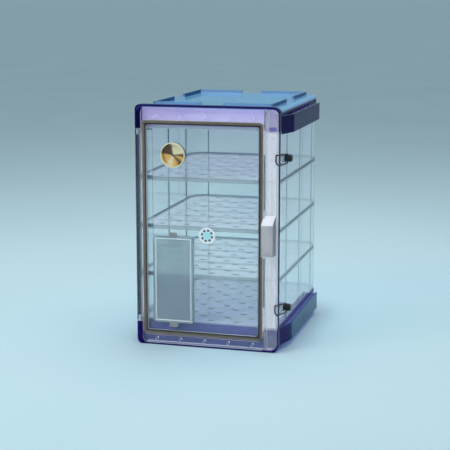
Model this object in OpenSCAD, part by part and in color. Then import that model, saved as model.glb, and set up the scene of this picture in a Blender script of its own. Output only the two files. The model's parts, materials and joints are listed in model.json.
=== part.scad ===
// Stackable desiccator cabinet: four clear wall tiers between two tinted end caps,
// four perforated shelves, and a gasketed clear door with a full-height latch bar.
// Millimetres. +Z up, door towards -Y, origin at the centre of the resting base.

/* [Cabinet] */
// Width over the end caps
cap_w = 308; // [280:1:340]
// Depth from the door's front face to the back
cab_d = 420; // [400:1:440]
// Height over the stacking ribs
cab_h = 510; // [505:1:560]
// Height of the top cap below the front rim
top_cap_h = 50.5; // [49:0.5:54]
// Height of the bottom cap
bottom_cap_h = 48; // [46:0.5:52]
// Wall thickness of the clear tiers
wall_t = 3.2; // [2.6:0.1:3.6]
// Radius of the rounded rear corners
rear_r = 40; // [30:1:46]
// How far the side grip rails stand out
rail_out = 14; // [12:0.5:18]

/* [Door] */
// Thickness of the door pane
pane_t = 4; // [3.5:0.1:4.5]
// Width of the rubber gasket
gasket_w = 9; // [7:0.5:9.5]
// Largest distance of the grip from the door face
grip_out = 28; // [20:1:32]
// Outside diameter of the hygrometer bezel
bezel_d = 53; // [50:1:58]

/* [Shelves] */
// Thickness of a shelf plate
shelf_t = 3; // [2.5:0.1:3.2]
// Length of a ventilation slot
slot_len = 14; // [10:1:18]
// Width of a ventilation slot
slot_w = 5; // [4:0.5:6]

/* [Hidden] */

$fn = 64;
tiers = 4;
eps = 0.5;

// Depth positions, measured along Y
door_y = grip_out - (cab_d + grip_out) / 2;
back_y = door_y + cab_d;
face_y = door_y + 16;
flange_t = 4;
inner_y = face_y + flange_t;

// End caps, and the tiers that stand slightly inside their outline
cap_half = cap_w / 2;
cap_t = 3;
cap_corner_r = 14;
step_in = 1.5;
wall_half = cap_half - step_in;
wall_in = wall_half - wall_t;
wall_y1 = back_y - step_in;
room_y1 = wall_y1 - wall_t;
room_r = rear_r - wall_t;

// Heights
rim_z = cab_h - 2;
rib_h = 8;
deck_z = cab_h - rib_h;
tier_z0 = bottom_cap_h;
tier_z1 = rim_z - top_cap_h;
tier_h = (tier_z1 - tier_z0) / tiers;
seal_t = 1;
floor_z = 9;

// Grip rails: outer face, height, and depths of the front end, the bend and the rear end
rail_x = cap_half + rail_out;
rail_t = 3;
rail_h = 37;
top_rail_z = rim_z - 56;
bottom_rail_z = 12;
rail_y0 = door_y + 18;
rail_bend_y = door_y + 74;
rail_y1 = door_y + 348;
gusset_depths = [174, 254, 299, 345];

// Stacking ribs on the deck and the recess under the base that takes them
rib_t = 5;
rib_half = cap_half - 26;
rib_inner = 24;
rib_leg = 135;
rib_setback = 33;
recess_in = 18;

// Door opening in the tier flanges
open_x0 = -120;
open_x1 = cap_half - 46;

// Door outline, shared by the pane and the latch bar
door_x0 = -(cap_half - 14.4);
door_x1 = cap_half - 4;
door_z0 = 3.5;
door_z1 = rim_z - 5.5;
door_r = 12;
door_gap = 0.8;
frame_y = door_y + 9;
gasket_x0 = door_x0 + 0.4;
gasket_x1 = open_x1 + 11.5;
gasket_z0 = 21.5;
gasket_z1 = tier_z1 + 18;
gasket_back_y = face_y - 0.2;

// Door hinge
hinge_r = 6.7;
hinge_x = -(cap_half - hinge_r);
hinge_y = door_y + 7.5;
hinge_pin_r = 2.5;
hinge_bore_r = 2.55;
barrel_gap = 0.6;
pin_hold = 13;

// Latch bar and its hinge
latch_pivot_x = open_x1 + 15.2;
latch_pivot_y = door_y + 2.9;
latch_knuckle_r = 2.6;
latch_rod_r = 1.2;
latch_bore_r = 1.25;
latch_z0 = door_z0 + 1.5;
latch_z1 = door_z1 - 1.5;
latch_x0 = latch_pivot_x + latch_knuckle_r + 0.4;
pane_x1 = latch_pivot_x - latch_knuckle_r - 0.4;
latch_d = 12;
latch_wall = 2.5;
bead_x = latch_pivot_x + 15.8;
bead_w = 4;
groove_w = 7;
groove_d = 2;
grip_z0 = 207;
grip_z1 = 288;
grip_front_z1 = 272;
grip_x1 = door_x1 - 2.5;
knuckle_gap = 0.4;
// Barrel sections end here; the pane has the 1st, 3rd, 5th and 7th, the bar has the others
knuckle_ends = [latch_z0, latch_z0 + 38, latch_z0 + 90, grip_z0 - 10, grip_z1 + 10,
                latch_z1 - 90, latch_z1 - 38, latch_z1];

// Hygrometer
hyg_x = -70.5;
hyg_z = 405;
bezel_r = bezel_d / 2;
case_r = bezel_r - 4;
hyg_case_t = 1.2;
hyg_gap = 0.05;
staff_r = 1;
needle_rest = 60;

// Desiccant cartridge
cart_x0 = -115;
cart_x1 = -29;
cart_z0 = 49;
cart_z1 = 234;
cart_y0 = door_y + pane_t;
cart_y1 = door_y + 13.5;
cart_t = 1.6;
cart_r = 5;
cover_t = 1.2;
fill_z = 151;
cart_mid = (cart_x0 + cart_x1) / 2;

// Indicator disc
disc_x = 2.5;
disc_z = 240;
disc_r = 17.5;

// Side clamps: z of the base, then z of the top and bottom of the loop at the door
clamp_y = door_y + 61;
clamps = [[399, 413.5, 392], [84, 103, 81]];
screw_r = 1.5;
screw_hole_r = 1.7;
loop_r = 1.4;
loop_side_x = wall_half + 4.9;
loop_edge_x = wall_half + 1;
loop_front_x = door_x1 - 2.5;
loop_front_y = door_y - loop_r - 0.2;

// Slender ribs inside the side walls: side and depth behind the door face
wall_ribs = [[-1, 65], [-1, 218], [-1, 352], [1, 85], [1, 216], [1, 348]];
wall_rib_t = 2;

// Shelves
shelf_gap = 2.8;
shelf_half = wall_in - shelf_gap;
shelf_y0 = inner_y + 2;
shelf_y1 = room_y1 - shelf_gap;
ledge_w = 7;
slot_rows = 12;
slot_pitch_x = 54;
slot_margin_y = 20;
slot_pitch_y = (shelf_y1 - shelf_y0 - 2 * slot_margin_y) / (slot_rows - 1);

// ---------- helpers ----------

// A box from its lowest to its highest corner
module block(lo, hi) {
  translate(lo) cube(hi - lo);
}

// Extrudes an outline drawn in X and Z from y0 to y1
module along_y(y0, y1) {
  translate([0, y1, 0]) rotate([90, 0, 0]) linear_extrude(y1 - y0) children();
}

// Extrudes an outline drawn in X and Y from z0 to z1
module along_z(z0, z1) {
  translate([0, 0, z0]) linear_extrude(z1 - z0) children();
}

// Cylinder along X from x0 to x1
module disc_x_axis(x0, x1, y, z, r) {
  translate([x0, y, z]) rotate([0, 90, 0]) cylinder(h = x1 - x0, r = r);
}

// Cylinder along Y from y0 to y1
module disc_y_axis(y0, y1, x, z, r) {
  translate([x, y1, z]) rotate([90, 0, 0]) cylinder(h = y1 - y0, r = r);
}

// Ring along Y
module ring_y_axis(y0, y1, x, z, r_out, r_in) {
  difference() {
    disc_y_axis(y0, y1, x, z, r_out);
    disc_y_axis(y0 - eps, y1 + eps, x, z, r_in);
  }
}

// Rectangle with all corners rounded
module round_rect(x0, y0, x1, y1, r) {
  translate([x0 + r, y0]) square([x1 - x0 - 2 * r, y1 - y0]);
  translate([x0, y0 + r]) square([x1 - x0, y1 - y0 - 2 * r]);
  for (x = [x0 + r, x1 - r], y = [y0 + r, y1 - r]) translate([x, y]) circle(r);
}

// Plan outline with a straight front and rounded rear corners
module plan_outline(half, y0, y1, r) {
  translate([-half, y0]) square([2 * half, y1 - r - y0]);
  translate([-(half - r), y0]) square([2 * (half - r), y1 - y0]);
  for (side = [-1, 1]) translate([side * (half - r), y1 - r]) circle(r);
}

// Cap seen from the front: both caps are slices of this outline
module cap_profile(top) {
  round_rect(-cap_half, 0, cap_half, top, cap_corner_r);
}

// Space that the closed door and its latch bar take in the caps' front rims
module door_space() {
  round_rect(hinge_x - 60, door_z0 - door_gap, door_x1 + 2.2, door_z1 + door_gap, door_r);
}

// ---------- end caps ----------

// Outside of a cap: rounded rear corners in plan, long upper edges rounded
module cap_outside(z0) {
  intersection() {
    along_z(z0, deck_z) plan_outline(cap_half, face_y, back_y, rear_r + step_in);
    along_y(face_y - 1, back_y + 1) cap_profile(deck_z);
  }
}

// Space inside a cap, in line with the inside of the tiers
module cap_room(z0, z1) {
  intersection() {
    along_z(z0, z1) plan_outline(wall_in, inner_y, room_y1, room_r);
    along_y(face_y, back_y) round_rect(-wall_in, cap_t, wall_in, deck_z - cap_t, cap_corner_r - cap_t);
  }
}

// Rim that frames the door, between two heights
module cap_rim(z0, z1) {
  intersection() {
    along_y(door_y, face_y + 1) difference() {
      cap_profile(rim_z);
      door_space();
    }
    block([hinge_x, door_y - 1, z0], [cap_half + 1, face_y + 2, z1]);
  }
}

// Round hinge block at the left of a cap
module hinge_block(z0, z1) {
  intersection() {
    union() {
      translate([hinge_x, hinge_y, z0]) cylinder(h = z1 - z0, r = hinge_r);
      block([hinge_x - hinge_r, hinge_y, z0], [hinge_x + hinge_r, face_y + 1, z1]);
    }
    along_y(door_y - 1, face_y + 2) cap_profile(rim_z);
  }
}

// Keeper pad that the closed latch bar rests against, next to the tiers
module latch_keeper(z0, z1) {
  block([latch_x0 + 4, door_y + latch_d + 0.6, z0], [door_x1 - 4, face_y + 1, z1]);
}

// Grip rail on the right side: outer strip, a web at web_z and upright gussets
module rail(z0, web_z) {
  z1 = z0 + rail_h;
  root = cap_half - 1;
  strip_in = rail_x - rail_t;
  along_z(z0, z1) polygon([[root, rail_y0], [cap_half, rail_y0], [rail_x, rail_bend_y], [rail_x, rail_y1],
                           [strip_in, rail_y1], [strip_in, rail_bend_y + 2], [root, rail_y0 + 10]]);
  along_z(web_z, web_z + rail_t) polygon([[root, rail_y0], [cap_half, rail_y0], [rail_x, rail_bend_y],
                                         [rail_x, rail_y1], [root, rail_y1]]);
  for (depth = gusset_depths)
    block([root, door_y + depth, z0 + rail_t], [rail_x - 1, door_y + depth + rail_t, z1 - rail_t]);
}

// The same rail on both sides
module rails(z0, web_z) {
  for (side = [0, 1]) mirror([side, 0, 0]) rail(z0, web_z);
}

// Stacking rib in the right corner of the deck, with its long leg reaching from y_out to y_in
module stack_rib(y_out, y_in) {
  lean = sign(y_in - y_out);
  y_wall = y_out + lean * rib_t;
  block([rib_inner, min(y_out, y_wall), deck_z - 1], [rib_half, max(y_out, y_wall), cab_h]);
  block([rib_half - rib_t, min(y_out, y_in), deck_z - 1], [rib_half, max(y_out, y_in), cab_h]);
}

module stack_ribs() {
  front = face_y + rib_setback;
  back = back_y - 26;
  for (side = [0, 1]) mirror([side, 0, 0]) {
    stack_rib(front, front + rib_leg);
    stack_rib(back, back - rib_leg);
  }
}

module top_cap() {
  z0 = tier_z1 + seal_t / 2;
  color("steelblue") difference() {
    union() {
      difference() {
        cap_outside(z0);
        cap_room(z0 - 1, deck_z);
      }
      // front rim rises above the deck
      along_y(face_y, inner_y) intersection() {
        translate([-cap_half, deck_z - cap_corner_r]) square([cap_w, cap_corner_r + rim_z - deck_z]);
        cap_profile(rim_z);
      }
      cap_rim(z0, rim_z);
      hinge_block(z0, rim_z);
      latch_keeper(z0, z0 + 8);
      rails(top_rail_z, top_rail_z + 16);
      stack_ribs();
      // moulding boss in the middle of the deck
      translate([0, (face_y + back_y) / 2, deck_z - 1]) cylinder(h = 2, r = 4);
    }
    translate([hinge_x, hinge_y, z0 - 1]) cylinder(h = pin_hold + 1, r = hinge_pin_r);
  }
}

module bottom_cap() {
  z1 = tier_z0 - seal_t / 2;
  color("darkslateblue") difference() {
    union() {
      difference() {
        translate([0, 0, deck_z]) mirror([0, 0, 1]) cap_outside(deck_z - z1);
        cap_room(floor_z + cap_t, z1 + 1);
        along_z(-1, floor_z)
          plan_outline(cap_half - recess_in, inner_y, back_y - recess_in, rear_r - recess_in);
      }
      // ledge for the lowest shelf
      ledge(z1 - 5, z1 - 1);
      cap_rim(0, z1);
      hinge_block(0, z1);
      latch_keeper(z1 - 13, z1 - 3);
      rails(bottom_rail_z, bottom_rail_z + 31);
    }
    translate([hinge_x, hinge_y, z1 - pin_hold]) cylinder(h = pin_hold + 1, r = hinge_pin_r);
  }
}

// ---------- clear wall tiers ----------

// Inward ledge along the sides and the back, for a shelf to rest on
module ledge(z0, z1) {
  along_z(z0, z1) difference() {
    plan_outline(wall_in + 1, inner_y, room_y1 + 1, room_r + 1);
    translate([0, -1]) plan_outline(wall_in - ledge_w, inner_y, room_y1 - ledge_w + 1, room_r - ledge_w);
  }
}

// Cross-section of a tier, thinned by inset on both faces
module tier_section(inset) {
  difference() {
    plan_outline(wall_half - inset, face_y + inset, wall_y1 - inset, rear_r - inset);
    plan_outline(wall_in + inset, inner_y - inset, room_y1 + inset, room_r + inset);
    translate([open_x0 - inset, face_y - 1]) square([open_x1 - open_x0 + 2 * inset, flange_t + 2]);
  }
}

module side_wall_ribs(z0, z1) {
  for (rib = wall_ribs) {
    x0 = rib[0] > 0 ? wall_in - wall_rib_t : -wall_in - 1;
    y0 = door_y + rib[1] - wall_rib_t / 2;
    block([x0, y0, z0], [x0 + wall_rib_t + 1, y0 + wall_rib_t, z1]);
  }
}

module wall_tier(n) {
  z0 = tier_z0 + n * tier_h + seal_t / 2;
  z1 = z0 + tier_h - seal_t;
  color("lightcyan") difference() {
    union() {
      along_z(z0, z1) tier_section(0);
      ledge(z1 - 5, z1 - 1);
      side_wall_ribs(z0 + 4, z1 - 5.5);
    }
    // groove that the latch bar's bead seats in
    block([bead_x - groove_w / 2, face_y - 1, z0 - 1], [bead_x + groove_w / 2, face_y + groove_d, z1 + 1]);
    for (clamp = clamps) if (clamp[0] > z0 && clamp[0] < z1)
      disc_x_axis(wall_in - 1, wall_half + 1, clamp_y, clamp[0], screw_hole_r);
  }
}

// Flat rubber seal in the joint under tier n
module joint_seal(n) {
  z = tier_z0 + n * tier_h;
  color("dimgray") along_z(z - seal_t / 2, z + seal_t / 2) difference() {
    tier_section(0.8);
    translate([bead_x - groove_w / 2, face_y]) square([groove_w, groove_d]);
  }
}

// ---------- shelves ----------

module slot_outline() {
  straight = slot_len - slot_w;
  square([straight, slot_w], center = true);
  for (end = [-1, 1]) translate([end * straight / 2, 0]) circle(slot_w / 2, $fn = 24);
}

// Staggered rows of slots over the shelf
module slot_rows_2d() {
  for (row = [0:slot_rows - 1]) {
    count = row % 2 == 0 ? 5 : 4;
    for (i = [0:count - 1])
      translate([(i - (count - 1) / 2) * slot_pitch_x, shelf_y0 + slot_margin_y + row * slot_pitch_y])
        slot_outline();
  }
}

// Shelf n; shelf 0 is the lowest and rests in the bottom cap, the others rest on the tiers' ledges
module shelf(n) {
  z = tier_z0 + n * tier_h - seal_t / 2 - 1;
  lip_half = wall_in - ledge_w - 2;
  lip_h = 6;
  rib_half_w = lip_half - 8;
  color("azure") {
    along_z(z, z + shelf_t) difference() {
      plan_outline(shelf_half, shelf_y0, shelf_y1, room_r - shelf_gap);
      slot_rows_2d();
    }
    // turned-down front lip
    block([-lip_half, shelf_y0, z - lip_h], [lip_half, shelf_y0 + 2.5, z]);
    // cross ribs between the slot rows
    for (row = [1:2:slot_rows - 2]) {
      y = shelf_y0 + slot_margin_y + (row + 0.5) * slot_pitch_y;
      block([-rib_half_w, y - 1, z - 3.5], [rib_half_w, y + 1, z]);
    }
  }
}

// ---------- door ----------

// Door pane outline: square at the latch side
module pane_outline() {
  difference() {
    round_rect(door_x0, door_z0, door_x1, door_z1, door_r);
    translate([pane_x1, 0]) square([door_x1, cab_h]);
  }
}

// Section of the latch hinge's barrel, joined to the left (side -1) or to the right (side 1)
module knuckle(z0, z1, side) {
  reach = latch_knuckle_r + 2;
  x0 = side < 0 ? latch_pivot_x - reach : latch_pivot_x;
  translate([latch_pivot_x, latch_pivot_y, z0]) cylinder(h = z1 - z0, r = latch_knuckle_r, $fn = 32);
  block([x0, latch_pivot_y - latch_knuckle_r, z0], [x0 + reach, latch_pivot_y + latch_knuckle_r, z1]);
}

module door_pane() {
  edge_t = 2.5;
  edge_y = frame_y + 3;
  barrel_z0 = tier_z0 + barrel_gap;
  barrel_z1 = tier_z1 - barrel_gap;
  peg_pitch = 52;
  color("aliceblue") difference() {
    union() {
      along_y(door_y, door_y + pane_t) pane_outline();
      // seat frame behind the pane, under the gasket
      along_y(door_y + pane_t - eps, frame_y) difference() {
        round_rect(door_x0, gasket_z0 - 1.5, gasket_x1, gasket_z1 + 1.5, door_r - 2);
        round_rect(gasket_x0 + gasket_w + 1, gasket_z0 + gasket_w + 1,
                   gasket_x1 - gasket_w - 1, gasket_z1 - gasket_w - 1, 4);
      }
      // turned edges along the top and the bottom
      intersection() {
        along_y(door_y + pane_t - eps, edge_y) pane_outline();
        for (z = [door_z0, door_z1 - edge_t])
          block([door_x0 + 8, door_y, z], [pane_x1, edge_y + 1, z + edge_t]);
      }
      // hinge barrel with its web
      translate([hinge_x, hinge_y, barrel_z0]) cylinder(h = barrel_z1 - barrel_z0, r = hinge_r);
      block([hinge_x, door_y + 2, barrel_z0], [door_x0 + 1, frame_y, barrel_z1]);
      // rest pegs in the top and bottom margins
      for (i = [-2:2], z = [gasket_z1 + 8, gasket_z0 - 9])
        disc_y_axis(door_y + pane_t - eps, edge_y, i * peg_pitch - 6, z, 3);
      for (i = [0:2:6]) knuckle(knuckle_ends[i], knuckle_ends[i + 1], -1);
    }
    disc_y_axis(door_y - 1, edge_y + 1, hyg_x, hyg_z, case_r + 0.2);
    for (z = [barrel_z0 - 1, barrel_z1 + 1 - pin_hold])
      translate([hinge_x, hinge_y, z]) cylinder(h = pin_hold, r = hinge_bore_r);
    translate([latch_pivot_x, latch_pivot_y, 0]) cylinder(h = cab_h, r = latch_rod_r, $fn = 32);
  }
}

module door_gasket() {
  lip = 2;
  color("rosybrown") {
    along_y(frame_y, gasket_back_y - lip) difference() {
      round_rect(gasket_x0, gasket_z0, gasket_x1, gasket_z1, door_r - 2);
      round_rect(gasket_x0 + gasket_w, gasket_z0 + gasket_w,
                 gasket_x1 - gasket_w, gasket_z1 - gasket_w, 4);
    }
    // narrower sealing lip
    along_y(gasket_back_y - lip - eps, gasket_back_y) difference() {
      round_rect(gasket_x0 + lip, gasket_z0 + lip, gasket_x1 - lip, gasket_z1 - lip, door_r - 4);
      round_rect(gasket_x0 + gasket_w - lip, gasket_z0 + gasket_w - lip,
                 gasket_x1 - gasket_w + lip, gasket_z1 - gasket_w + lip, 5);
    }
  }
}

// Pin pressed into a cap and running in the door's barrel
module door_hinge_pin(z) {
  half = pin_hold - 2;
  color("silver") translate([hinge_x, hinge_y, z - half]) cylinder(h = 2 * half, r = hinge_pin_r);
}

// ---------- latch ----------

module latch_hinge_rod() {
  color("silver") translate([latch_pivot_x, latch_pivot_y, latch_z0 + 1])
    cylinder(h = latch_z1 - latch_z0 - 2, r = latch_rod_r, $fn = 32);
}

module latch_outline(inset) {
  difference() {
    round_rect(latch_x0 - 40, latch_z0 + inset, door_x1 - inset, latch_z1 - inset, door_r - inset);
    translate([latch_x0 - 50, 0]) square([50 + inset, cab_h]);
  }
}

module latch_bar() {
  skin = 3;
  bead_end = 12;
  color("white") difference() {
    union() {
      along_y(door_y, door_y + skin) latch_outline(0);
      // walls round the edge, stiffening the bar from behind
      along_y(door_y + skin - eps, door_y + latch_d) difference() {
        latch_outline(0);
        latch_outline(latch_wall);
      }
      // bead that snaps into the tiers' groove
      block([bead_x - bead_w / 2, door_y + skin - eps, tier_z0 + bead_end],
            [bead_x + bead_w / 2, face_y + 1.4, tier_z1 - bead_end]);
      for (i = [1:2:5]) knuckle(knuckle_ends[i] + knuckle_gap, knuckle_ends[i + 1] - knuckle_gap, 1);
    }
    translate([latch_pivot_x, latch_pivot_y, 0]) cylinder(h = cab_h, r = latch_bore_r, $fn = 32);
  }
}

// Grip on the latch bar: sloping top, with a finger recess open towards the hinge side
module latch_grip() {
  x0 = latch_pivot_x + 0.2;
  wall = 3;
  front = door_y - grip_out;
  color("whitesmoke") difference() {
    translate([x0, 0, 0]) rotate([90, 0, 90]) linear_extrude(grip_x1 - x0)
      polygon([[door_y, grip_z0], [door_y, grip_z1], [front + 3, grip_front_z1 + 3],
               [front, grip_front_z1], [front, grip_z0 + 2], [front + 2, grip_z0]]);
    translate([x0 - 1, 0, 0]) rotate([90, 0, 90]) linear_extrude(grip_x1 - x0 - 2 * wall)
      polygon([[door_y - wall, grip_z0 + wall], [door_y - wall, grip_z1 - wall - 2],
               [front + wall + 1, grip_front_z1 - 1], [front + wall, grip_z0 + wall]]);
    // relief that clears the pane's edge when the bar swings open
    block([x0 - 1, door_y - 9, grip_z0 - 1], [latch_pivot_x + 2.5, door_y + 1, grip_z1 + 1]);
  }
}

// ---------- hygrometer ----------

module hygrometer_case() {
  color("goldenrod") difference() {
    disc_y_axis(door_y - 0.4, door_y + 13, hyg_x, hyg_z, case_r);
    disc_y_axis(door_y - 1, door_y + 13 - hyg_case_t, hyg_x, hyg_z, case_r - hyg_case_t);
    for (i = [0:5]) rotate_about_hygrometer(i * 60)
      disc_y_axis(door_y, door_y + 14, hyg_x, hyg_z + case_r * 0.6, 2);
  }
}

// Turns its children about the hygrometer's axis
module rotate_about_hygrometer(angle) {
  translate([hyg_x, 0, hyg_z]) rotate([0, angle, 0]) translate([-hyg_x, 0, -hyg_z]) children();
}

module hygrometer_bezel() {
  color("gainsboro") {
    ring_y_axis(door_y - 1.4, door_y, hyg_x, hyg_z, bezel_r, case_r + hyg_gap);
    ring_y_axis(door_y - 2.4, door_y - 1.2, hyg_x, hyg_z, bezel_r - 1, case_r - 1.5);
  }
}

module hygrometer_lens() {
  color("white") disc_y_axis(door_y - 1.1, door_y - 0.4, hyg_x, hyg_z, case_r - 0.7);
}

module hygrometer_dial() {
  dial_y = door_y + 2.4;
  dial_r = case_r - hyg_case_t - hyg_gap;
  color("gold") difference() {
    union() {
      disc_y_axis(dial_y, dial_y + 0.8, hyg_x, hyg_z, dial_r);
      // raised scale ticks round the rim
      for (i = [-5:5]) rotate_about_hygrometer(i * 27)
        block([hyg_x - 0.3, dial_y - 0.15, hyg_z + dial_r * 0.8],
              [hyg_x + 0.3, dial_y + 0.1, hyg_z + dial_r * 0.93]);
    }
    disc_y_axis(dial_y - 1, dial_y + 2, hyg_x, hyg_z, staff_r + 0.06);
  }
}

// Humidity-sensitive spiral behind the dial, made of half turns
module hygrometer_coil() {
  half_turns = 6;
  r0 = 4;
  step = 1.2;
  strip_t = 0.5;
  color("peru") translate([hyg_x, door_y + 9, hyg_z]) rotate([90, 0, 0]) linear_extrude(4) {
    for (i = [0:half_turns - 1]) {
      r = r0 + i * step;
      side = i % 2 == 0 ? 1 : -1;
      translate([side * step / 2, 0]) difference() {
        circle(r);
        circle(r - strip_t);
        translate([-50, side > 0 ? -100 : 0]) square([100, 100]);
      }
    }
  }
}

module hygrometer_needle() {
  y = door_y + 1;
  color("black") {
    disc_y_axis(door_y + 0.2, door_y + 4.5, hyg_x, hyg_z, staff_r);
    disc_y_axis(y - 0.6, y + 0.4, hyg_x, hyg_z, 2.2);
    rotate_about_hygrometer(-needle_rest) along_y(y - 0.3, y + 0.2)
      polygon([[hyg_x - 0.9, hyg_z - 6], [hyg_x + 0.9, hyg_z - 6], [hyg_x + 0.25, hyg_z + case_r * 0.75],
               [hyg_x - 0.25, hyg_z + case_r * 0.75]]);
  }
}

module hygrometer_back_nut() {
  color("gray") ring_y_axis(door_y + pane_t, door_y + pane_t + 3, hyg_x, hyg_z, case_r + 4, case_r + hyg_gap);
}

// ---------- desiccant cartridge ----------

module desiccant_case() {
  rim = 3;
  color("lightgray") difference() {
    along_y(cart_y0, cart_y1) round_rect(cart_x0, cart_z0, cart_x1, cart_z1, cart_r);
    along_y(cart_y0 + cart_t, cart_y1 + 1)
      round_rect(cart_x0 + rim, cart_z0 + rim, cart_x1 - rim, cart_z1 - rim, 3);
    // shallow panel pressed into the face, leaving a raised rim
    along_y(cart_y0 - 1, cart_y0 + 0.6)
      round_rect(cart_x0 + 5, cart_z0 + 5, cart_x1 - 5, cart_z1 - 5, 3);
  }
}

module desiccant_cover() {
  rows = 12;
  pitch = (cart_z1 - cart_z0 - 30) / (rows - 1);
  color("whitesmoke") along_y(cart_y1, cart_y1 + cover_t) difference() {
    round_rect(cart_x0, cart_z0, cart_x1, cart_z1, cart_r);
    for (row = [0:rows - 1], col = [-1, 0, 1])
      translate([cart_mid + col * 24, cart_z0 + 15 + row * pitch]) square([18, 3], center = true);
  }
}

module desiccant_charge() {
  gap = 3.6;
  color("cornflowerblue") along_y(cart_y0 + cart_t + 0.4, cart_y1 - 0.6)
    round_rect(cart_x0 + gap, cart_z0 + gap, cart_x1 - gap, fill_z, 2.4);
}

// Clip behind the door that hooks over the cartridge's rim: foot, arm and hook
module desiccant_clip(up) {
  tab_w = 18;
  arm_t = 3;
  hook_t = 0.6;
  gap = 0.2;
  hook_y = cart_y1 + cover_t + 0.1;
  color("white") translate([cart_mid - tab_w / 2, 0, up ? cart_z1 : cart_z0]) mirror([0, 0, up ? 0 : 1]) {
    block([0, cart_y0, gap], [tab_w, cart_y0 + arm_t, 3 * arm_t]);
    block([0, cart_y0, gap], [tab_w, hook_y + hook_t, arm_t]);
    block([0, hook_y, -arm_t], [tab_w, hook_y + hook_t, arm_t]);
  }
}

module indicator_disc() {
  color("white") disc_y_axis(door_y - 0.4, door_y, disc_x, disc_z, disc_r);
}

// ---------- side clamps ----------

module clamp_base(z) {
  x = wall_half;
  color("black") difference() {
    union() {
      disc_x_axis(x, x + 2, clamp_y, z, 9);
      disc_x_axis(x + 1, x + 9, clamp_y, z, 5);
      disc_x_axis(x + 8, x + 10, clamp_y, z, 8.5);
      disc_x_axis(x + 9, x + 11.5, clamp_y, z, 5.5);
      translate([x + 11, clamp_y, z]) rotate([0, 90, 0])
        rotate_extrude() polygon([[0, 0], [7, 0], [7.5, 1.5], [6.5, 3.8], [4.5, 4.4], [0, 4.4]]);
    }
    // vertical hole that the loop's ends turn in
    translate([loop_side_x, clamp_y, z - 10]) cylinder(h = 20, r = loop_r + 0.1, $fn = 24);
    disc_x_axis(x - 1, x + 3.4, clamp_y, z, screw_r);
  }
}

// Short screws that hold the two clamp bases to the right wall
module clamp_screws() {
  color("dimgray") for (clamp = clamps) {
    disc_x_axis(wall_in - 1, wall_half + 3, clamp_y, clamp[0], screw_r);
    disc_x_axis(wall_in - 1.8, wall_in, clamp_y, clamp[0], 2.5);
  }
}

// Point at parameter t, 0 to 1, on the smooth curve from p[1] to p[2]
function curve_point(p, t) =
  0.5 * (2 * p[1] + (p[2] - p[0]) * t + (2 * p[0] - 5 * p[1] + 4 * p[2] - p[3]) * t * t
         + (3 * p[1] - p[0] - 3 * p[2] + p[3]) * t * t * t);

// Smooth curve through all the points of a route
function smooth(route, steps) =
  let (last = len(route) - 1)
  [for (i = [0:last - 1], k = [0:steps - 1])
     curve_point([route[max(i - 1, 0)], route[i], route[i + 1], route[min(i + 2, last)]], k / steps),
   route[last]];

function unit(v) = v / norm(v);
function square_to(v, t) = unit(v - (v * t) * t);

// Round tube along a list of points, with one ring of sides at each
module tube(path, r, sides) {
  last = len(path) - 1;
  along = [for (i = [0:last]) unit(path[min(i + 1, last)] - path[max(i - 1, 0)])];
  across = [for (i = 0, n = square_to([1, 0, 0], along[0]); i <= last;
                 i = i + 1, n = i <= last ? square_to(n, along[i]) : n) n];
  rings = [for (i = [0:last], k = [0:sides - 1])
             path[i] + r * (cos(k * 360 / sides) * across[i]
                            + sin(k * 360 / sides) * cross(along[i], across[i]))];
  walls = [for (i = [0:last - 1], k = [0:sides - 1])
             let (a = i * sides + k, b = i * sides + (k + 1) % sides)
             [a, a + sides, b + sides, b]];
  start = [for (k = [0:sides - 1]) k];
  end = [for (k = [sides - 1:-1:0]) last * sides + k];
  polyhedron(points = rings, faces = concat([start, end], walls));
}

// Elastic loop: from the clamp base round the latch bar's edge and back
module clamp_loop(z, top, bottom) {
  route = [[loop_side_x, clamp_y, z + 2.8], [loop_side_x, clamp_y, z + 5.4],
           [loop_side_x, clamp_y, z + 6.8], [loop_side_x, clamp_y - 5, z + 8.9],
           [loop_edge_x + 1.5, door_y + 12, top - 2],
           [loop_edge_x - 0.5, loop_front_y - 0.3, top - loop_r],
           [loop_front_x + 1.5, loop_front_y, top - loop_r], [loop_front_x, loop_front_y, top - 3.5],
           [loop_front_x, loop_front_y, bottom + 6], [loop_front_x + 2.5, loop_front_y, bottom + 2],
           [loop_edge_x - 0.5, loop_front_y - 0.3, bottom], [loop_edge_x + 1.5, door_y + 14, bottom - 1.5],
           [loop_side_x, clamp_y - 6, z - 9.7], [loop_side_x, clamp_y, z - 6.8],
           [loop_side_x, clamp_y, z - 5.4], [loop_side_x, clamp_y, z - 2.8]];
  color("black") tube(smooth(route, 4), loop_r, 12);
}

// ---------- what is drawn ----------

bottom_cap();
top_cap();
for (n = [0:tiers - 1]) wall_tier(n);
for (n = [0:tiers]) joint_seal(n);
for (n = [0:tiers - 1]) shelf(n);
door_hinge_pin(tier_z1);  // door_hinge_pin_top
door_hinge_pin(tier_z0);  // door_hinge_pin_bottom
clamp_base(clamps[0][0]);  // clamp_base_top
clamp_base(clamps[1][0]);  // clamp_base_bottom
clamp_screws();
clamp_loop(clamps[0][0], clamps[0][1], clamps[0][2]);  // clamp_loop_top
clamp_loop(clamps[1][0], clamps[1][1], clamps[1][2]);  // clamp_loop_bottom
door_pane();
door_gasket();
latch_hinge_rod();
hygrometer_case();
hygrometer_bezel();
hygrometer_lens();
hygrometer_dial();
hygrometer_coil();
hygrometer_back_nut();
hygrometer_needle();
desiccant_case();
desiccant_cover();
desiccant_charge();
desiccant_clip(true);  // desiccant_clip_top
desiccant_clip(false);  // desiccant_clip_bottom
indicator_disc();
latch_bar();
latch_grip();
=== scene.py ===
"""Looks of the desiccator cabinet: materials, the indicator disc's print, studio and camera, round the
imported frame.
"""

import json
import math

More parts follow.
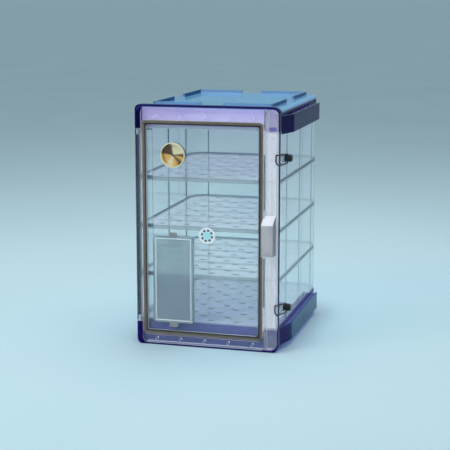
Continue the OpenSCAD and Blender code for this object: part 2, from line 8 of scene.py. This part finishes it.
import bmesh
import bpy
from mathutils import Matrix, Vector


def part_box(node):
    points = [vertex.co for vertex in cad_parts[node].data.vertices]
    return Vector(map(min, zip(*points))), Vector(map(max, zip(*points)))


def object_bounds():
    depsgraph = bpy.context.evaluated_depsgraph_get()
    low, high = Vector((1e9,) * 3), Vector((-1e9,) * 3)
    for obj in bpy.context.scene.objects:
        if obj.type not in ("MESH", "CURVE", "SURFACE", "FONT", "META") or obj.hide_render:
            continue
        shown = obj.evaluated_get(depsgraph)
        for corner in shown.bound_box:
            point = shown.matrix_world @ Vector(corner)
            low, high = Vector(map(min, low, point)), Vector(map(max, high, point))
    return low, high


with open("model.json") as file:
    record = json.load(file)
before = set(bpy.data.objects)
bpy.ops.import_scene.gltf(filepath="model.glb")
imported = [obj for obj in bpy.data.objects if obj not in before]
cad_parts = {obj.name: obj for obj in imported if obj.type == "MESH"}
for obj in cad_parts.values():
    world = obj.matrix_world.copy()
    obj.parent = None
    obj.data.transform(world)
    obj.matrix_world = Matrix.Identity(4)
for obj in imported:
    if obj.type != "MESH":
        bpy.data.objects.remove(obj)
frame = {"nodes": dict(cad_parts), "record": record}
CAD_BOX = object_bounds()

MM = 0.001

# ---------- places taken from the frame ----------

WALL_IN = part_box("wall_tier_1")[1].x - 3 * MM  # just short of the inner face
WALL_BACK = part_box("wall_tier_1")[1].y - 3 * MM
RIM_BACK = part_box("wall_tier_1")[0].y - 0.5 * MM
CORNER_R = 37 * MM
BEND_HALF = 1 * MM  # half the painted dark line where a rear corner starts to bend
RIB_DEPTH = 2.2 * MM  # how far the wall ribs stand in
SKIN = 0.3 * MM
JOINT_BAND = 4 * MM
SEAT_X0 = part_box("latch_bar")[0].x + 4 * MM
SEAT_X1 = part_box("latch_bar")[1].x - 3 * MM
SEAT_DEPTH = 8 * MM
KEEPER_T = 4 * MM
FLUTE_PITCH = 3 * MM
FLUTE_GAP = 0.55  # share of the pitch between flutes
DECK_Z = CAD_BOX[1].z - 7.5 * MM
LIP_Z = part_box("joint_seal_5")[1].z + 5 * MM
LIP_H = 9 * MM
RAIL_OUTER = CAD_BOX[1].x - 2 * MM
GUSSET_T = 1.6 * MM
BAYS = [o["box_m"] for o in frame["record"]["physics"]["openings"] if "rail_right" in o["name"]]
GUSSETS = sorted({round(high[1] + GUSSET_T, 4) for low, high in BAYS})
SHELF_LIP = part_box("shelf_1")[0].y + 2 * MM
GASKET_WIDTH = 9 * MM
LINE_IN = 3.8 * MM  # from the cartridge's outline to its moulded line
LINE_WIDTH = 2.2 * MM
DISC_DASHES = 8
FLOOR_RADIUS = 300

# How much of a normal lies along an axis, for a face that looks that way
HALF_FACING = 0.5
FACING = 0.7
SQUARE_ON = 0.9


# ---------- node helpers ----------


class Shader:
    """A material's node tree with short ways to add and join nodes."""

    def __init__(self, name):
        self.material = bpy.data.materials.new(name)
        self.material.use_nodes = True
        self.tree = self.material.node_tree
        self.tree.nodes.clear()
        self.output = self.add("ShaderNodeOutputMaterial")
        self.surface = self.add("ShaderNodeBsdfPrincipled")
        self.link(self.surface, "BSDF", self.output, "Surface")

    def add(self, kind, **values):
        node = self.tree.nodes.new(kind)
        for key, value in values.items():
            setattr(node, key, value)
        return node

    def link(self, source, out, target, into):
        self.tree.links.new(source.outputs[out], target.inputs[into])

    def set(self, **values):
        """Numbers and colours on the Principled shader's own sockets."""
        for key, value in values.items():
            self.surface.inputs[key.replace("_", " ")].default_value = value

    def place(self):
        """The node that gives each point's place on its object."""
        return self.add("ShaderNodeTexCoord")

    def noise(self, scale, detail=3.0, stretch=(1, 1, 1)):
        """Noise over the object, scale being the number of lumps in a metre."""
        mapping = self.add("ShaderNodeMapping")
        mapping.inputs["Scale"].default_value = stretch
        self.link(self.place(), "Object", mapping, "Vector")
        noise = self.add("ShaderNodeTexNoise")
        noise.inputs["Scale"].default_value = scale
        noise.inputs["Detail"].default_value = detail
        self.link(mapping, "Vector", noise, "Vector")
        return noise

    def ramp(self, source, out, stops, smooth="LINEAR"):
        """Colours along a value, stops being pairs of place and colour."""
        ramp = self.add("ShaderNodeValToRGB")
        ramp.color_ramp.interpolation = smooth
        marks = ramp.color_ramp.elements
        while len(marks) < len(stops):
            marks.new(0.5)
        for mark, (place, colour) in zip(marks, stops):
            mark.position = place
            mark.color = (*colour, 1)
        self.link(source, out, ramp, "Fac")
        return ramp

    def colour(self, source):
        """Joins a colour to the Principled shader."""
        self.link(*source, self.surface, "Base Color")

    def over(self, under, colour, mask):
        """A colour laid over another one where the mask is white."""
        mix = self.add("ShaderNodeMix", data_type="RGBA")
        factor, first, second = mix.inputs[0], mix.inputs[6], mix.inputs[7]
        second.default_value = (*colour, 1)
        self.tree.links.new(under[0].outputs[under[1]], first)
        self.tree.links.new(mask[0].outputs[mask[1]], factor)
        return mix, 2

    def math(self, operation, first, second=None):
        """One sum on a value, or on a pair of values."""
        node = self.add("ShaderNodeMath", operation=operation)
        self.link(*first, node, 0)
        if isinstance(second, tuple):
            self.link(*second, node, 1)
        elif second is not None:
            node.inputs[1].default_value = second
        return node, "Value"

    def clear_except(self, clear, cloudy, mask):
        """Transmission that drops to the cloudy amount where the mask is white."""
        spread = self.add("ShaderNodeMapRange")
        spread.inputs["To Min"].default_value = clear
        spread.inputs["To Max"].default_value = cloudy
        self.link(*mask, spread, "Value")
        self.link(spread, "Result", self.surface, "Transmission Weight")

    def either(self, first, second):
        """The wider of two masks."""
        return self.math("MAXIMUM", first, second)

    def both(self, first, second):
        """The overlap of two masks."""
        return self.math("MULTIPLY", first, second)

    def above(self, value, limit):
        """A mask of where a value is past a limit."""
        return self.math("GREATER_THAN", value, limit)

    def below(self, value, limit):
        """A mask of where a value is short of a limit."""
        return self.math("LESS_THAN", value, limit)

    def between(self, value, low, high):
        """A mask of where a value lies between two limits."""
        return self.both(self.above(value, low), self.below(value, high))

    def soft(self, value, low, high):
        """A mask that fades in between two values."""
        fade = self.add("ShaderNodeMapRange")
        fade.inputs["From Min"].default_value = low
        fade.inputs["From Max"].default_value = high
        self.link(*value, fade, "Value")
        return fade, "Result"

    def position(self):
        """Each point's X, Y and Z on its object."""
        parts = self.add("ShaderNodeSeparateXYZ")
        self.link(self.place(), "Object", parts, "Vector")
        return {axis: (parts, axis) for axis in "XYZ"}

    def normal(self):
        """How much each point faces along X, Y and Z, either way."""
        parts = self.add("ShaderNodeSeparateXYZ")
        self.link(self.add("ShaderNodeNewGeometry"), "True Normal", parts, "Vector")
        return {axis: self.math("ABSOLUTE", (parts, axis)) for axis in "XYZ"}

    def inset(self, node):
        """Distance in from the outline that a node on the door has from the front."""
        low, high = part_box(node)
        place = self.position()
        centre, half = (low + high) / 2, (high - low) / 2
        gaps = []
        for axis, middle, reach in (("X", centre.x, half.x), ("Z", centre.z, half.z)):
            away = self.math("ABSOLUTE", self.math("SUBTRACT", place[axis], middle))
            gaps.append(self.math("ADD", self.math("MULTIPLY", away, -1.0), reach))
        return self.math("MINIMUM", *gaps)

    def around(self, centre):
        """Coordinates from the middle of a disc on the door, with X and Y lying in its face."""
        mapping = self.add("ShaderNodeMapping")
        mapping.inputs["Location"].default_value = (-centre.x, centre.z, -centre.y)
        mapping.inputs["Rotation"].default_value = (math.pi / 2, 0, 0)
        self.link(self.place(), "Object", mapping, "Vector")
        return mapping

    def rough(self, source, low, high, out="Fac"):
        """Roughness that follows a texture between two values."""
        spread = self.add("ShaderNodeMapRange")
        spread.inputs["To Min"].default_value = low
        spread.inputs["To Max"].default_value = high
        self.link(source, out, spread, "Value")
        self.link(spread, "Result", self.surface, "Roughness")

    def bump(self, source, height, out="Fac"):
        """Relief of this height in metres."""
        bump = self.add("ShaderNodeBump")
        bump.inputs["Distance"].default_value = height
        self.link(source, out, bump, "Height")
        self.link(bump, "Normal", self.surface, "Normal")

    def mottle(self, noise, dark, pale, start=0.3):
        """A colour that wanders from dark to pale with a noise."""
        return self.ramp(noise, "Fac", [(start, dark), (0.7, pale)]), "Color"

    def grain(self, lumps, height):
        """Fine relief, lumps being their number in a metre."""
        self.bump(self.noise(lumps, 2.0), height)

    def flow_waves(self, height):
        """The faint upright waves that moulded and extruded sheet has."""
        self.bump(self.noise(26, 2.0, (1, 1, 0.35)), height)

    def let_lamps_through(self, tint):
        """Clear plastic casts a pale tinted shadow, not a black one."""
        path = self.add("ShaderNodeLightPath")
        clear = self.add("ShaderNodeBsdfTransparent")
        clear.inputs["Color"].default_value = (*tint, 1)
        mix = self.add("ShaderNodeMixShader")
        self.link(path, "Is Shadow Ray", mix, "Fac")
        self.tree.links.new(self.surface.outputs["BSDF"], mix.inputs[1])
        self.tree.links.new(clear.outputs["BSDF"], mix.inputs[2])
        self.link(mix, "Shader", self.output, "Surface")


# ---------- materials ----------


def lighter(colour, step):
    """A colour with this much more of each channel."""
    return tuple(min(1.0, c + step) for c in colour)


def edge_tint(s, colour, dark):
    """Clear plastic reads darker where it is seen along its skin."""
    facing = s.add("ShaderNodeLayerWeight")
    fade = s.ramp(facing, "Facing", [(0.84, (0, 0, 0)), (0.985, (1, 1, 1))])
    return s.over(colour, dark, (fade, "Color"))


def clear_plastic(name, tint, haze=0.02, ripple=0.000012, clearness=1.0, slot=None):
    """Clear moulded plastic: faint flow waves, an uneven gloss, and painted shade on the slot walls."""
    s = Shader(name)
    s.set(Transmission_Weight=clearness, IOR=1.46)
    cloud = s.noise(9, 4.0)
    body = s.mottle(cloud, tint, lighter(tint, 0.03))
    if slot:
        upright = s.below(s.normal()["Z"], HALF_FACING)
        behind_lip = s.above(s.position()["Y"], SHELF_LIP)
        # Painted shade on the upright slot walls behind the shelf lip.
        body = s.over(body, slot, s.both(upright, behind_lip))
    s.colour(edge_tint(s, body, (0.10, 0.15, 0.21)))
    s.rough(cloud, haze, haze + 0.04)
    s.flow_waves(ripple)
    s.let_lamps_through(tint)
    return s.material


def sawn_plastic(name, tint, clear, low, high, ripple, hazy=None):
    """Clear sheet whose cut edges, pegs and barrels are painted white, partly for the frosted sawn faces and
    partly as a painted highlight, a little hazy between two heights.
    """
    s = Shader(name)
    s.set(IOR=1.44)
    cloud = s.noise(14, 4.0, (1, 1, 0.3))
    body = s.mottle(cloud, tint, lighter(tint, 0.05))
    edge = s.below(s.normal()["Y"], HALF_FACING)
    # Edge faces painted white: partly the frosted sawn face, partly a painted highlight.
    s.colour(s.over(body, (0.93, 0.94, 0.97), edge))
    cloudy = edge
    if hazy:
        span = s.between(s.position()["Z"], *hazy)
        cloudy = s.either(edge, s.math("MULTIPLY", span, 0.45))
    s.clear_except(clear, 0.55, cloudy)
    s.rough(cloud, low, high)
    s.flow_waves(ripple)
    s.let_lamps_through(tint)
    return s.material


def wall_plastic(name, tint):
    """Clear tier walls: the joint ledges gather the tint and read darker; the rib faces carry painted shade,
    as does the line where each rear corner starts to bend.
    """
    s = Shader(name)
    s.set(IOR=1.46)
    tiers = numbered("wall_tier", 4)
    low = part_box(tiers[0])[0].z
    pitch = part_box(tiers[1])[0].z - low
    place, normal = s.position(), s.normal()
    to_joint = s.math("PINGPONG", s.math("SUBTRACT", place["Z"], low), pitch / 2)
    near_joint = s.below(to_joint, JOINT_BAND)
    reach = s.math("ABSOLUTE", place["X"])
    shaded_rib = s.between(reach, WALL_IN - RIB_DEPTH, WALL_IN - SKIN)
    shaded_rib = s.both(shaded_rib, s.below(place["Y"], WALL_BACK - CORNER_R))
    bend = WALL_IN - CORNER_R
    corner = s.between(reach, bend - BEND_HALF, bend + BEND_HALF)
    corner = s.both(corner, s.above(place["Y"], WALL_BACK - 2 * BEND_HALF))
    faces_front = s.above(normal["Y"], FACING)
    on_end = s.both(faces_front, s.above(reach, WALL_IN))
    cloud = s.noise(9, 4.0)
    body = s.mottle(cloud, tint, lighter(tint, 0.03))
    body = s.over(body, (0.30, 0.35, 0.44), near_joint)
    front = s.both(faces_front, s.below(place["Y"], RIM_BACK + SEAT_DEPTH))
    seat = s.both(front, s.above(place["X"], SEAT_X0))
    body = s.over(body, (0.93, 0.94, 0.96), seat)
    s.clear_except(0.88, 0.25, s.either(seat, shaded_rib))
    # Painted shade: the rib faces are painted near black.
    body = s.over(body, (0.04, 0.06, 0.10), shaded_rib)
    # Painted shade: a dark line where each rear corner starts to bend.
    body = s.over(body, (0.10, 0.14, 0.18), corner)
    body = s.over(body, (0.02, 0.02, 0.10), on_end)
    s.colour(edge_tint(s, body, (0.06, 0.10, 0.16)))
    s.rough(cloud, 0.02, 0.06)
    s.flow_waves(0.000015)
    s.let_lamps_through(tint)
    return s.material


def dyed_plastic_with_painted_light(name, front, flat, side_shade, rim, rail_shade, raised=None, raised_side_shade=None):
    """Dyed plastic with painted light: each way that a wall faces gets a colour of its own for how the light
    falls on it, with painted shade on the sides, outer rails and flute grooves and a painted highlight on
    each gusset.
    """
    s = Shader(name)
    s.set(Transmission_Weight=0.6, IOR=1.18, Specular_IOR_Level=0.15)
    place, normal = s.position(), s.normal()
    cloud = s.noise(11, 3.0)
    body = s.mottle(cloud, front, tuple(c * 1.12 for c in front))
    high = s.above(place["Z"], DECK_Z)
    if raised:
        body = s.over(body, raised, high)
    # Painted light: faces that look up get a colour of their own for how the light falls on them.
    body = s.over(body, flat, s.soft(normal["Z"], 0.2, 0.7))
    # Painted shade on faces that look sideways, and on the raised ribs' sides.
    sides = s.soft(normal["X"], 0.75, 0.95)
    body = s.over(body, side_shade, sides)
    if raised_side_shade:
        body = s.over(body, raised_side_shade, s.both(sides, high))
    faces_front = s.above(normal["Y"], FACING)
    lip = s.between(place["Z"], LIP_Z - LIP_H, LIP_Z)
    body = s.over(body, (0.72, 0.74, 0.80), s.both(faces_front, lip))
    reach = s.math("ABSOLUTE", place["X"])
    on_rail = s.above(reach, RAIL_OUTER)
    # Painted shade on the outer rail faces, with a painted highlight on each gusset.
    body = s.over(body, rail_shade, on_rail)
    for y in GUSSETS:
        tick = s.between(place["Y"], y - GUSSET_T / 2, y + GUSSET_T / 2)
        body = s.over(body, lighter(rail_shade, 0.10), s.both(on_rail, tick))
    in_rim = s.below(place["Y"], RIM_BACK)
    body = s.over(body, rim, in_rim)
    faces_bar = s.both(s.between(place["X"], SEAT_X0, SEAT_X1), faces_front)
    keeper = s.both(faces_bar, s.both(in_rim, s.above(place["Y"], RIM_BACK - KEEPER_T)))
    body = s.over(body, (0.07, 0.02, 0.42), keeper)
    # Painted shade: darker stripes for the flute grooves on the panel behind the bar.
    flute = s.above(s.math("FRACT", s.math("DIVIDE", place["X"], FLUTE_PITCH)), FLUTE_GAP)
    panel = s.both(faces_bar, s.above(place["Y"], RIM_BACK))
    body = s.over(body, tuple(0.45 * c for c in front), s.both(panel, flute))
    s.colour(body)
    s.rough(cloud, 0.05, 0.12)
    s.grain(30, 0.00004)
    s.let_lamps_through(tuple(c ** 0.5 for c in front))
    return s.material


def milky_plastic(name, dark, pale, weight, low, high):
    """Cloudy plastic that lets through soft light."""
    s = Shader(name)
    s.set(Transmission_Weight=weight, IOR=1.4)
    cloud = s.noise(14, 4.0, (1, 1, 0.3))
    s.colour(s.mottle(cloud, dark, pale))
    s.rough(cloud, low, high)
    s.grain(700, 0.00001)
    s.let_lamps_through(dark)
    return s.material


def grip_plastic(name):
    """Cloudy grip with a painted highlight on its sloping top and painted shade on its underside and sides.
    """
    s = Shader(name)
    s.set(IOR=1.4)
    normal = s.normal()
    cloud = s.noise(20, 4.0)
    body = s.mottle(cloud, (0.72, 0.70, 0.72), (0.82, 0.80, 0.82))
    # Painted highlight on the sloping top.
    highlight_slope = s.between(normal["Z"], 0.3, SQUARE_ON)
    body = s.over(body, (0.96, 0.97, 1.0), highlight_slope)
    # Painted shade on the flat faces and the sides.
    edge = s.either(s.above(normal["Z"], SQUARE_ON), s.above(normal["X"], SQUARE_ON))
    s.colour(s.over(body, (0.16, 0.16, 0.20), edge))
    s.clear_except(0.62, 0.3, highlight_slope)
    s.rough(cloud, 0.14, 0.24)
    s.grain(700, 0.00002)
    s.let_lamps_through((0.7, 0.7, 0.72))
    return s.material


def cartridge_plastic(name):
    """Frosted case with a pale moulded line a little inside its outline."""
    s = Shader(name)
    s.set(IOR=1.3)
    cloud = s.noise(25, 4.0)
    body = s.mottle(cloud, (0.56, 0.65, 0.69), (0.63, 0.71, 0.75))
    line = s.between(s.inset("desiccant_case"), LINE_IN, LINE_IN + LINE_WIDTH)
    s.colour(s.over(body, (0.92, 0.92, 0.94), line))
    s.clear_except(0.8, 0.3, line)
    s.rough(cloud, 0.30, 0.42)
    s.grain(900, 0.00004)
    s.let_lamps_through((0.7, 0.8, 0.8))
    return s.material


def gasket_rubber(name):
    """Taupe seal with a paler outer bead and painted shade on its inner lip."""
    s = Shader(name)
    s.set(Specular_IOR_Level=0.45)
    across = s.math("DIVIDE", s.inset("door_gasket"), GASKET_WIDTH)
    dust = s.noise(60, 5.0)
    body = s.mottle(dust, (0.38, 0.33, 0.28), (0.48, 0.42, 0.37), 0.35)
    body = s.over(body, (0.66, 0.61, 0.57), s.below(across, 0.18))
    # Painted shade on the inner lip.
    body = s.over(body, (0.055, 0.045, 0.035), s.above(across, 0.68))
    s.colour(body)
    s.rough(dust, 0.4, 0.6)
    s.grain(2500, 0.00005)
    return s.material


def rubber(name, dark, pale, low=0.55, high=0.8):
    """Soft rubber with a fine grain and a dusty bloom."""
    s = Shader(name)
    s.set(Specular_IOR_Level=0.35)
    dust = s.noise(60, 5.0)
    s.colour(s.mottle(dust, dark, pale, 0.35))
    s.rough(dust, low, high)
    s.grain(2500, 0.00006)
    return s.material


def moulded_plastic(name, dark, pale, low=0.35, high=0.55):
    """Opaque moulded plastic with a fine spark-eroded grain."""
    s = Shader(name)
    cloud = s.noise(90, 4.0)
    s.colour(s.mottle(cloud, dark, pale, 0.35))
    s.rough(cloud, low, high)
    s.grain(1800, 0.00004)
    return s.material


def drawn_metal(name, dark, pale):
    """Metal with marks that run along its length."""
    s = Shader(name)
    s.set(Metallic=1.0)
    marks = s.noise(900, 3.0, (1, 1, 0.03))
    s.colour(s.mottle(marks, dark, pale))
    s.rough(marks, 0.2, 0.4)
    s.bump(marks, 0.00002)
    return s.material


def spun_brass(name, centre, rim_r):
    """Brass turned on a lathe: fine rings, painted highlights and shade in sectors for the sheen that the
    rings give, and a pale rim.
    """
    s = Shader(name)
    s.set(Metallic=0.65)
    face = s.around(centre)
    turn = s.add("ShaderNodeTexGradient", gradient_type="RADIAL")
    s.link(face, "Vector", turn, "Vector")
    brown, gold, cream = (0.15, 0.06, 0.008), (0.95, 0.55, 0.13), (1.0, 0.86, 0.55)
    # Painted highlights and shade: sectors of brown, gold and cream stand for the sheen of the lathe rings.
    painted_sheen_sectors = [
        (0.00, gold),
        (0.04, brown),
        (0.20, brown),
        (0.26, cream),
        (0.45, cream),
        (0.50, brown),
        (0.55, gold),
        (0.62, brown),
        (0.70, gold),
        (0.80, cream),
        (0.92, gold),
        (1.00, gold),
    ]
    body = (s.ramp(turn, "Fac", painted_sheen_sectors, "EASE"), "Color")
    far = s.add("ShaderNodeVectorMath", operation="LENGTH")
    s.link(face, "Vector", far, "Vector")
    s.colour(s.over(body, (1.0, 0.90, 0.68), s.above((far, "Value"), rim_r)))
    rings = s.add("ShaderNodeTexWave", wave_type="RINGS", rings_direction="SPHERICAL")
    rings.inputs["Scale"].default_value = 900
    s.link(face, "Vector", rings, "Vector")
    s.rough(rings, 0.30, 0.42)
    s.bump(rings, 0.00002)
    return s.material


def printed_disc(name, centre, radius):
    """White disc with a pale middle and a ring of plain dashes."""
    s = Shader(name)
    face = s.around(centre)
    far = s.add("ShaderNodeVectorMath", operation="LENGTH")
    s.link(face, "Vector", far, "Vector")
    share = s.math("DIVIDE", (far, "Value"), radius)
    turn = s.add("ShaderNodeTexGradient", gradient_type="RADIAL")
    s.link(face, "Vector", turn, "Vector")
    part = s.math("FRACT", s.math("MULTIPLY", (turn, "Fac"), DISC_DASHES))
    dash = s.both(s.below(part, 0.62), s.between(share, 0.50, 0.74))
    speck = s.noise(900, 3.0)
    body = s.mottle(speck, (0.84, 0.88, 0.90), (0.92, 0.95, 0.96))
    body = s.over(body, (0.45, 0.82, 0.86), s.below(share, 0.46))
    s.colour(s.over(body, (0.03, 0.12, 0.15), dash))
    s.rough(speck, 0.45, 0.65)
    return s.material


def gel_beads(name):
    """Loose silica beads: rounded cells of slightly different blues."""
    s = Shader(name)
    cells = s.add("ShaderNodeTexVoronoi")
    cells.inputs["Scale"].default_value = 330
    s.link(s.place(), "Object", cells, "Vector")
    blues = [(0.1, (0.05, 0.10, 0.26)), (0.6, (0.12, 0.22, 0.40)), (0.95, (0.30, 0.30, 0.50))]
    s.colour((s.ramp(cells, "Color", blues), "Color"))
    s.rough(cells, 0.2, 0.5, "Distance")
    s.bump(cells, -0.0012, "Distance")
    return s.material


# ---------- painting the CAD nodes ----------


def middle_of(node):
    """The centre of a node's box."""
    low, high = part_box(node)
    return (low + high) / 2


def paint(nodes, material):
    """Gives CAD nodes this material."""
    for node in nodes:
        for slot in frame["nodes"][node].material_slots:
            slot.material = material


def numbered(name, count):
    """The names of a row of like nodes."""
    return [f"{name}_{i + 1}" for i in range(count)]


def ends(name):
    """The names of a pair of nodes, one at the top and one at the bottom."""
    return [f"{name}_top", f"{name}_bottom"]


def paint_cabinet():
    """The tiers, shelves, seals and the two dyed caps."""
    paint(numbered("wall_tier", 4), wall_plastic("wall_plastic", (0.88, 0.94, 0.95)))
    pale = (0.90, 0.94, 0.95)
    slot_wall_shade = (0.20, 0.27, 0.31)
    paint(numbered("shelf", 4), clear_plastic("shelf_plastic", pale, 0.06, 0.000006, 0.84, slot_wall_shade))
    paint(numbered("joint_seal", 4), rubber("seal_rubber", (0.07, 0.09, 0.14), (0.12, 0.15, 0.21)))
    paint(["joint_seal_5"], rubber("top_seal_rubber", (0.74, 0.77, 0.80), (0.84, 0.87, 0.90)))
    paint(
        ["top_cap"],
        dyed_plastic_with_painted_light(
            "top_tint_painted_light",
            front=(0.78, 0.70, 0.95),
            flat=(0.26, 0.56, 0.74),
            side_shade=(0.012, 0.004, 0.10),
            rim=(0.008, 0.005, 0.08),
            rail_shade=(0.012, 0.004, 0.09),
            raised=(0.34, 0.52, 0.74),
            raised_side_shade=(0.004, 0.09, 0.25),
        ),
    )
    paint(
        ["bottom_cap"],
        dyed_plastic_with_painted_light(
            "base_tint_painted_light",
            front=(0.20, 0.22, 0.48),
            flat=(0.14, 0.15, 0.46),
            side_shade=(0.030, 0.010, 0.18),
            rim=(0.022, 0.010, 0.20),
            rail_shade=(0.012, 0.16, 0.30),
        ),
    )


def paint_door():
    """The door and what it carries, apart from the hygrometer."""
    paint(["door_pane"], sawn_plastic("door_plastic", (0.93, 0.96, 0.965), 1.0, 0.02, 0.06, 0.000006))
    paint(ends("desiccant_clip"), moulded_plastic("clip_plastic", (0.62, 0.66, 0.68), (0.72, 0.76, 0.78)))
    paint(["door_gasket"], gasket_rubber("gasket_rubber"))
    between_caps = (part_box("wall_tier_1")[0].z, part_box("wall_tier_4")[1].z)
    bar = sawn_plastic("bar_plastic", (0.91, 0.91, 0.93), 0.93, 0.08, 0.14, 0.000006, between_caps)
    paint(["latch_bar"], bar)
    paint(["latch_grip"], grip_plastic("grip_plastic"))
    paint(["desiccant_case"], cartridge_plastic("frosted_plastic"))
    cover = milky_plastic("cover_plastic", (0.60, 0.68, 0.68), (0.70, 0.78, 0.78), 0.7, 0.34, 0.46)
    paint(["desiccant_cover"], cover)
    paint(["desiccant_charge"], gel_beads("gel_beads"))
    low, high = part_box("indicator_disc")
    paint(["indicator_disc"], printed_disc("disc_print", middle_of("indicator_disc"), (high.x - low.x) / 2))


def paint_hygrometer():
    """Dial and bezel share one set of rings and painted sheen."""
    centre = middle_of("hygrometer_dial")
    low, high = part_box("hygrometer_bezel")
    rim_r = (high.x - low.x) / 2 - 2 * MM
    paint(["hygrometer_dial"], spun_brass("dial_brass", centre, rim_r))
    paint(["hygrometer_bezel"], spun_brass("bezel_brass", centre, rim_r))
    brass = drawn_metal("case_brass", (0.55, 0.36, 0.12), (0.80, 0.60, 0.27))
    paint(["hygrometer_case", "hygrometer_coil"], brass)
    paint(["hygrometer_lens"], clear_plastic("lens_plastic", (0.99, 0.99, 0.99), 0.01, 0.00001))
    needle = moulded_plastic("needle_black", (0.012, 0.012, 0.012), (0.03, 0.03, 0.03), 0.3, 0.45)
    paint(["hygrometer_needle"], needle)


def paint_fittings():
    """The black clamps and nut, and the steel pins."""
    black = moulded_plastic("clamp_plastic", (0.008, 0.013, 0.012), (0.022, 0.032, 0.030))
    paint([*ends("clamp_base"), "hygrometer_back_nut"], black)
    paint(ends("clamp_loop"), rubber("loop_rubber", (0.006, 0.006, 0.006), (0.02, 0.02, 0.02), 0.4, 0.6))
    steel = drawn_metal("pin_steel", (0.50, 0.51, 0.53), (0.74, 0.75, 0.77))
    paint([*ends("door_hinge_pin"), "latch_hinge_rod", "clamp_screws"], steel)


# ---------- studio ----------


def pale_floor():
    """Wide plain floor with a faint mottle."""
    s = Shader("studio_floor")
    stain = s.noise(1.2, 3.0)
    s.colour(s.mottle(stain, (0.47, 0.66, 0.72), (0.50, 0.69, 0.75)))
    s.set(Roughness=0.65, Specular_IOR_Level=0.2)
    bm = bmesh.new()
    bmesh.ops.create_circle(bm, cap_ends=True, segments=96, radius=FLOOR_RADIUS)
    mesh = bpy.data.meshes.new("floor")
    bm.to_mesh(mesh)
    bm.free()
    floor = bpy.data.objects.new("floor", mesh)
    mesh.materials.append(s.material)
    bpy.context.scene.collection.objects.link(floor)


def area_light(name, place, target, size, power):
    """A soft lamp at a place, facing a target."""
    data = bpy.data.lights.new(name, "AREA")
    data.shape = "RECTANGLE"
    data.size, data.size_y = size
    data.energy = power
    lamp = bpy.data.objects.new(name, data)
    lamp.location = place
    lamp.rotation_euler = (Vector(target) - Vector(place)).to_track_quat("-Z", "Y").to_euler()
    bpy.context.scene.collection.objects.link(lamp)


def studio():
    """The floor, a sky that pales upwards, and three soft lamps."""
    pale_floor()
    world = bpy.data.worlds.new("studio")
    bpy.context.scene.world = world
    world.use_nodes = True
    tree = world.node_tree
    sky = tree.nodes["Background"]
    sky.inputs["Strength"].default_value = 0.55
    place = tree.nodes.new("ShaderNodeTexCoord")
    parts = tree.nodes.new("ShaderNodeSeparateXYZ")
    fade = tree.nodes.new("ShaderNodeValToRGB")
    low, high = fade.color_ramp.elements
    low.position, low.color = 0.0, (0.21, 0.37, 0.45, 1)
    high.position, high.color = 0.55, (0.88, 0.95, 1.0, 1)
    tree.links.new(place.outputs["Generated"], parts.inputs["Vector"])
    tree.links.new(parts.outputs["Z"], fade.inputs["Fac"])
    tree.links.new(fade.outputs["Color"], sky.inputs["Color"])
    heart = (0, 0, 0.28)
    area_light("key", (-1.6, -1.9, 2.2), heart, (1.4, 1.4), 40)
    area_light("fill", (2.6, -1.2, 1.3), heart, (1.2, 1.6), 9)
    area_light("top", (0.2, 0.6, 2.4), heart, (1.8, 1.2), 26)


def camera():
    """Camera at the photograph's viewing angle, a little right of the door and above it."""
    yaw, pitch = 15.17, 10.63
    data = bpy.data.cameras.new("camera")
    data.lens = 98.0
    data.sensor_width = 36.0
    data.clip_end = 2 * FLOOR_RADIUS
    view = bpy.data.objects.new("camera", data)
    view.location = (0.6868, -2.5780, 0.7277)
    view.rotation_euler = (math.radians(90 - pitch), 0, math.radians(yaw))
    bpy.context.scene.collection.objects.link(view)
    bpy.context.scene.camera = view


paint_cabinet()
paint_door()
paint_hygrometer()
paint_fittings()
studio()
camera()

scene = bpy.context.scene
scene.view_settings.view_transform = "Standard"
scene.cycles.max_bounces = 24
scene.cycles.transmission_bounces = 24
scene.cycles.transparent_max_bounces = 32
